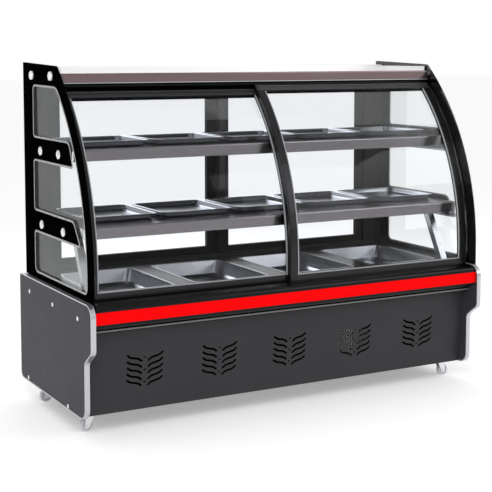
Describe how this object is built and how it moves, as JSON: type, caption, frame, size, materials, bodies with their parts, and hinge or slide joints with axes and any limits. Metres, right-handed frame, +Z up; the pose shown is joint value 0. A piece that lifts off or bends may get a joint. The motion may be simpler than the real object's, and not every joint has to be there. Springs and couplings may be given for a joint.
{
  "type": "refrigerated deli case",
  "caption": "Curved-glass refrigerated deli display case with sliding front and rear doors, steel shelves, a deck of lift-out pans and swivel casters",
  "frame": {"origin": "centre of the footprint on the floor, under the wheels", "axes": "+X along the length to the customer's right, +Y towards the server's side, so the curved front faces -Y, +Z up"},
  "size_m": [1.8, 0.804, 1.3998],
  "materials": {
    "end_paint": "satin dark grey board with a slight purple cast",
    "panel_paint": "satin dark grey powder coat",
    "black_profile": "black anodised, soft sheen",
    "rear_profile": "dark olive-black anodised, fluted",
    "red_strip": "bright red gloss insert",
    "silver_trim": "satin silver",
    "steel": "brushed stainless",
    "polished_steel": "bright polished stainless",
    "pan_steel": "pressed stainless",
    "side_glass": "clear toughened glass with a printed black border",
    "door_glass": "clear toughened glass",
    "galvanised": "galvanised skin",
    "lamp_lens": "translucent white",
    "black_plastic": "textured black plastic",
    "unit_paint": "semi-gloss black paint",
    "fins": "bare fins",
    "copper": "copper tube",
    "caster_metal": "zinc plated",
    "caster_tread": "pale nylon"
  },
  "bodies": {
    "case": {"base_frame": "panel_paint", "floor_sheet": "panel_paint", "front_panel": "panel_paint", "rear_panel": "panel_paint", "end_panel_left": "end_paint", "end_panel_right": "end_paint", "end_trim_left": "silver_trim", "end_trim_right": "silver_trim", "insulated_tank": "galvanised", "tank_liner": "steel", "deck_plate": "steel", "front_sill": "black_profile", "red_strip": "red_strip", "front_header": "polished_steel", "front_top_track": "black_profile", "top_panel": "steel", "rear_frame": "rear_profile", "side_glass_left": "side_glass", "side_glass_right": "side_glass", "upper_shelf": "polished_steel", "lower_shelf": "polished_steel", "upper_bracket_left": "steel", "upper_bracket_right": "steel", "lower_bracket_left": "steel", "lower_bracket_right": "steel", "centre_post": "black_profile", "strut_left": "steel", "strut_right": "steel", "lamp_housing": "silver_trim", "lamp_cover": "lamp_lens", "deck_pan_1": "pan_steel", "deck_pan_2": "pan_steel", "deck_pan_3": "pan_steel", "deck_pan_4": "pan_steel", "compressor": "unit_paint", "condenser": "fins", "fan_motor": "unit_paint", "evaporator": "fins", "suction_line": "copper", "control_panel": "black_plastic", "power_inlet": "black_plastic"},
    "front_door_left": {"front_door_left_frame": "black_profile", "front_door_left_glass": "door_glass"},
    "front_door_right": {"front_door_right_frame": "black_profile", "front_door_right_glass": "door_glass"},
    "rear_door_left": {"rear_door_left_frame": "rear_profile", "rear_door_left_glass": "door_glass"},
    "rear_door_right": {"rear_door_right_frame": "rear_profile", "rear_door_right_glass": "door_glass"},
    "fan": {"condenser_fan": "black_plastic"},
    "knob": {"thermostat_knob": "black_plastic"},
    "switch": {"lamp_switch": "black_plastic"},
    "fork_front_left": {"caster_fork_front_left": "caster_metal"},
    "wheel_front_left": {"caster_wheel_front_left": "caster_tread"},
    "fork_front_right": {"caster_fork_front_right": "caster_metal"},
    "wheel_front_right": {"caster_wheel_front_right": "caster_tread"},
    "fork_back_left": {"caster_fork_back_left": "caster_metal"},
    "wheel_back_left": {"caster_wheel_back_left": "caster_tread"},
    "fork_back_right": {"caster_fork_back_right": "caster_metal"},
    "wheel_back_right": {"caster_wheel_back_right": "caster_tread"}
  },
  "joints": [
    {"name": "front_door_left_slide", "type": "slide", "parent": "case", "child": "front_door_left", "axis": [1, 0, 0], "range_m": [0, 0.851]},
    {"name": "front_door_right_slide", "type": "slide", "parent": "case", "child": "front_door_right", "axis": [-1, 0, 0], "range_m": [0, 0.851]},
    {"name": "rear_door_left_slide", "type": "slide", "parent": "case", "child": "rear_door_left", "axis": [1, 0, 0], "range_m": [0, 0.773]},
    {"name": "rear_door_right_slide", "type": "slide", "parent": "case", "child": "rear_door_right", "axis": [-1, 0, 0], "range_m": [0, 0.773]},
    {"name": "condenser_fan_spin", "type": "hinge", "parent": "case", "child": "fan", "pos_m": [0.3208, -0.17459, 0.2094], "axis": [0, 1, 0], "continuous": true},
    {"name": "thermostat_turn", "type": "hinge", "parent": "case", "child": "knob", "pos_m": [-0.61, 0.3879, 0.425], "axis": [0, -1, 0], "range_deg": [0, 270]},
    {"name": "lamp_switch_rock", "type": "hinge", "parent": "case", "child": "switch", "pos_m": [-0.505, 0.3869, 0.425], "axis": [-1, 0, 0], "range_deg": [0, 14]},
    {"name": "swivel_front_left", "type": "hinge", "parent": "case", "child": "fork_front_left", "pos_m": [-0.83, -0.206, 0.087], "axis": [0, 0, 1], "continuous": true},
    {"name": "roll_front_left", "type": "hinge", "parent": "fork_front_left", "child": "wheel_front_left", "pos_m": [-0.848, -0.206, 0.025], "axis": [0, 1, 0], "continuous": true},
    {"name": "swivel_front_right", "type": "hinge", "parent": "case", "child": "fork_front_right", "pos_m": [0.83, -0.206, 0.087], "axis": [0, 0, 1], "continuous": true},
    {"name": "roll_front_right", "type": "hinge", "parent": "fork_front_right", "child": "wheel_front_right", "pos_m": [0.848, -0.206, 0.025], "axis": [0, 1, 0], "continuous": true},
    {"name": "swivel_back_left", "type": "hinge", "parent": "case", "child": "fork_back_left", "pos_m": [-0.83, 0.25, 0.087], "axis": [0, 0, 1], "continuous": true},
    {"name": "roll_back_left", "type": "hinge", "parent": "fork_back_left", "child": "wheel_back_left", "pos_m": [-0.848, 0.25, 0.025], "axis": [0, 1, 0], "continuous": true},
    {"name": "swivel_back_right", "type": "hinge", "parent": "case", "child": "fork_back_right", "pos_m": [0.83, 0.25, 0.087], "axis": [0, 0, 1], "continuous": true},
    {"name": "roll_back_right", "type": "hinge", "parent": "fork_back_right", "child": "wheel_back_right", "pos_m": [0.848, 0.25, 0.025], "axis": [0, 1, 0], "continuous": true}
  ]
}
